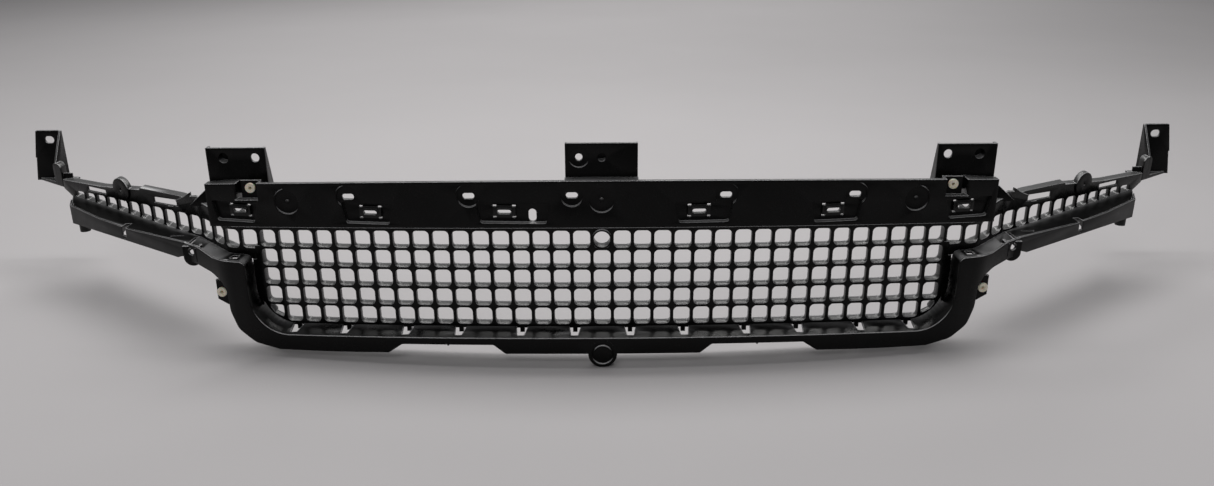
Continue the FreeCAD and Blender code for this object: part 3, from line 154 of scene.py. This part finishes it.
def upward_edge_highlight_mask(tree, flat, rounded):
    """1 along edges whose rounding faces up, 0 elsewhere: where the painted edge highlights go."""
    turn = add(tree, "ShaderNodeVectorMath", operation="DOT_PRODUCT")
    tree.links.new(flat, turn.inputs[0])
    tree.links.new(rounded, turn.inputs[1])
    bend = math_node(tree, "SUBTRACT", 1.0, turn.outputs["Value"])
    near = ramp(tree, bend, [(0.006, 0.0), (0.07, 1.0)])
    facing_up = ramp(tree, upward(tree, rounded), [(0.30, 0.0), (0.62, 1.0)])
    return math_node(tree, "MULTIPLY", near, facing_up)


def bumps(tree, shader, layers, normal=None):
    """Chains (height socket, distance) bumps into the shader, over normal where one is given."""
    for height, distance in layers:
        node = add(tree, "ShaderNodeBump", Strength=1.0, Distance=distance)
        tree.links.new(height, node.inputs["Height"])
        if normal is not None:
            tree.links.new(normal, node.inputs["Normal"])
        normal = node.outputs["Normal"]
    tree.links.new(normal, shader.inputs["Normal"])


# ---------------------------------------------------------------- materials
def flow_marks(tree, cloud, grey):
    """A grey that darkens and pales with the cloud, as plastic does where it flowed."""
    return ramp(tree, cloud, [(0.35, grey * DARK_SHARE), (0.68, (grey, grey, grey * COOL_SHARE))])


def black_plastic(name, front, top_painted_light, roughness, shine, grain, edge, edge_highlight):
    """Moulded black plastic: flow marks, a fine grain, dust specks and painted highlights on the upward
    edges.

    front is the grey of upright faces and top the grey of level faces, which paints light and shade:
    level faces paler than upright ones on most parts, darker on the strips; shine holds the shine of
    the same two, grain is the noise scale of the grain, edge the radius of the edges and rub how pale
    the painted highlights on the upward edges are."""
    material, tree, shader = new_material(name)
    where = place(tree)
    flat = tree.nodes.new("ShaderNodeNewGeometry").outputs["True Normal"]
    rounded = rounded_normal(tree, edge)
    level = upward(tree, flat)
    cloud = noise(tree, where, FLOW_SCALE, 4.0)
    # painted light and shade: level faces get their own grey, painted light where it is paler than the
    # upright grey, painted shade where darker
    body_with_painted_light = blend(tree, level, flow_marks(tree, cloud, front), flow_marks(tree, cloud, top_painted_light))
    speck = ramp(tree, noise(tree, where, SPECK_SCALE, 2.0), [(0.62, 0.0), (0.76, 0.05)])
    dust_and_painted_light = blend(tree, speck, body_with_painted_light, DUST)
    # painted highlight: pale colour mixed into the upward-facing edges
    edge_highlight_share = math_node(tree, "MULTIPLY", upward_edge_highlight_mask(tree, flat, rounded), edge_highlight)
    tree.links.new(blend(tree, edge_highlight_share, dust_and_painted_light, PAINTED_EDGE_HIGHLIGHT), shader.inputs["Base Color"])
    haze = noise(tree, where, HAZE_SCALE, 5.0, 0.65)
    rough = ramp(tree, haze, [(0.30, roughness - 0.06), (0.72, roughness + 0.08)])
    tree.links.new(rough, shader.inputs["Roughness"])
    gloss = ramp(tree, level, [(0.15, shine[0]), (0.85, shine[1])])
    tree.links.new(gloss, shader.inputs["Specular IOR Level"])
    grain_height = noise(tree, where, grain, 2.0, 0.6)
    waves = noise(tree, where, WAVE_SCALE, 2.0, 0.5)
    bumps(tree, shader, [(waves, WAVE_HEIGHT), (grain_height, GRAIN_HEIGHT)], rounded)
    return material


def satin_black():
    # level faces far paler than upright ones: painted light on the upward faces
    return black_plastic("satin_black", front=0.0022, top_painted_light=0.0850, roughness=0.27, shine=(0.14, 0.70),
                         grain=2600.0, edge=0.0011, edge_highlight=0.75)


def grained_black():
    # level faces a little paler than upright ones: painted light
    return black_plastic("grained_black", front=0.0022, top_painted_light=0.0040, roughness=0.30, shine=(0.14, 0.24),
                         grain=1900.0, edge=0.0015, edge_highlight=1.00)


def strip_black():
    # level faces darker than the upright face: painted shade on the strip's shelf
    return black_plastic("strip_black", front=0.0155, top_painted_light=0.0015, roughness=0.44, shine=(0.20, 0.04),
                         grain=1500.0, edge=0.0011, edge_highlight=0.50)


def clip_black():
    # level faces paler than upright ones: painted light
    return black_plastic("clip_black", front=0.0060, top_painted_light=0.0150, roughness=0.30, shine=(0.25, 0.50),
                         grain=3200.0, edge=0.0004, edge_highlight=0.16)


def white_nylon():
    """Natural nylon: warm white, a little translucent, slightly yellowed in patches."""
    material, tree, shader = new_material("white_nylon")
    where = place(tree)
    yellowed, clean = (0.80, 0.73, 0.56), (0.90, 0.86, 0.74)
    tint = ramp(tree, noise(tree, where, 160.0, 3.0), [(0.35, yellowed), (0.65, clean)])
    tree.links.new(tint, shader.inputs["Base Color"])
    rough = ramp(tree, noise(tree, where, 300.0, 3.0), [(0.3, 0.34), (0.7, 0.46)])
    tree.links.new(rough, shader.inputs["Roughness"])
    shader.inputs["Subsurface Weight"].default_value = 0.18
    shader.inputs["Subsurface Scale"].default_value = 0.002
    grain_height = noise(tree, where, 900.0, 2.0)
    bumps(tree, shader, [(grain_height, GRAIN_HEIGHT)], rounded_normal(tree, 0.0012))
    return material


def pale_floor():
    """Seamless grey paper, faintly mottled."""
    material, tree, shader = new_material("pale_floor")
    where = place(tree)
    darker, paler = (0.456, 0.443, 0.452), (0.476, 0.463, 0.472)
    tint = ramp(tree, noise(tree, where, 1.3, 3.0), [(0.3, darker), (0.7, paler)])
    tree.links.new(tint, shader.inputs["Base Color"])
    shader.inputs["Roughness"].default_value = 0.85
    bumps(tree, shader, [(noise(tree, where, 400.0, 3.0), 0.0001)])
    return material


# ---------------------------------------------------------------- geometry helpers
def smooth_group():
    """Geometry nodes that shade smooth across every edge flatter than SMOOTH_ANGLE."""
    group = bpy.data.node_groups.new("smooth_by_angle", "GeometryNodeTree")
    group.interface.new_socket("Geometry", in_out="INPUT", socket_type="NodeSocketGeometry")
    group.interface.new_socket("Geometry", in_out="OUTPUT", socket_type="NodeSocketGeometry")
    start, end = group.nodes.new("NodeGroupInput"), group.nodes.new("NodeGroupOutput")
    angle = group.nodes.new("GeometryNodeInputMeshEdgeAngle")
    flat = group.nodes.new("FunctionNodeCompare")
    flat.operation = "LESS_EQUAL"
    flat.inputs["B"].default_value = math.radians(SMOOTH_ANGLE)
    faces, edges = (group.nodes.new("GeometryNodeSetShadeSmooth") for _ in range(2))
    faces.domain, edges.domain = "FACE", "EDGE"
    link = group.links.new
    link(angle.outputs["Unsigned Angle"], flat.inputs["A"])
    link(start.outputs["Geometry"], faces.inputs["Geometry"])
    link(faces.outputs["Geometry"], edges.inputs["Geometry"])
    link(flat.outputs["Result"], edges.inputs["Shade Smooth"])
    link(edges.outputs["Geometry"], end.inputs["Geometry"])
    return group


def soften(piece, width, smoothing):
    """Modifiers that weld the mesh, round its sharp edges by width and shade it smooth."""
    weld = piece.modifiers.new("weld", "WELD")
    weld.merge_threshold = WELD_DISTANCE
    bevel = piece.modifiers.new("soft_edges", "BEVEL")
    bevel.width = width
    bevel.segments = 2
    bevel.limit_method = "ANGLE"
    bevel.angle_limit = math.radians(SHARP_ANGLE)
    bevel.use_clamp_overlap = True
    smooth = piece.modifiers.new("smooth", "NODES")
    smooth.node_group = smoothing


def paint(piece, material):
    piece.data.materials.clear()
    piece.data.materials.append(material)


# ---------------------------------------------------------------- the object
def finish_parts():
    """Gives each node of the frame the material of its slot and soft edges."""
    materials = {"satin_black": satin_black(), "grained_black": grained_black(),
                 "strip_black": strip_black(), "clip_black": clip_black(), "white_nylon": white_nylon()}
    slots = {entry["node"]: entry["material_slot"] for entry in frame["record"]["subparts"]}
    smoothing = smooth_group()
    for node, piece in frame["nodes"].items():
        small = any(word in node for word in SMALL_PARTS)
        paint(piece, materials[slots[node]])
        soften(piece, SMALL_SOFTENING if small else EDGE_SOFTENING, smoothing)


# ---------------------------------------------------------------- floor, light and camera
def floor():
    mesh = bpy.data.meshes.new("floor")
    corners = [(x * FLOOR_REACH, y * FLOOR_REACH, 0) for x, y in ((-1, -1), (1, -1), (1, 1), (-1, 1))]
    mesh.from_pydata(corners, [], [(0, 1, 2, 3)])
    piece = bpy.data.objects.new("floor", mesh)
    bpy.context.scene.collection.objects.link(piece)
    paint(piece, pale_floor())


def area_light(name, at, towards, width, depth, power):
    light = bpy.data.lights.new(name, "AREA")
    light.shape = "RECTANGLE"
    light.size, light.size_y = width, depth
    light.energy = power
    light.color = LAMP_COLOUR
    lamp = bpy.data.objects.new(name, light)
    lamp.location = at
    lamp.rotation_euler = (Vector(towards) - Vector(at)).to_track_quat("-Z", "Y").to_euler()
    bpy.context.scene.collection.objects.link(lamp)


def studio():
    scene = bpy.context.scene
    scene.view_settings.view_transform = "Standard"
    scene.world = bpy.data.worlds.new("studio")
    scene.world.use_nodes = True
    background = scene.world.node_tree.nodes["Background"]
    background.inputs["Color"].default_value = WORLD_GREY
    background.inputs["Strength"].default_value = WORLD_STRENGTH
    for lamp in LAMPS:
        area_light(*lamp)


def camera():
    data = bpy.data.cameras.new("camera")
    data.sensor_width = SENSOR_WIDTH
    data.lens = LENS
    data.clip_start, data.clip_end = 0.05, 60.0
    view = bpy.data.objects.new("camera", data)
    tilt = Matrix.Rotation(math.radians(90.0 - CAMERA_TILT), 4, "X")
    roll = Matrix.Rotation(math.radians(-CAMERA_ROLL), 4, "Z")
    view.matrix_world = Matrix.Translation(CAMERA_PLACE) @ tilt @ roll
    bpy.context.scene.collection.objects.link(view)
    bpy.context.scene.camera = view


finish_parts()
floor()
studio()
camera()
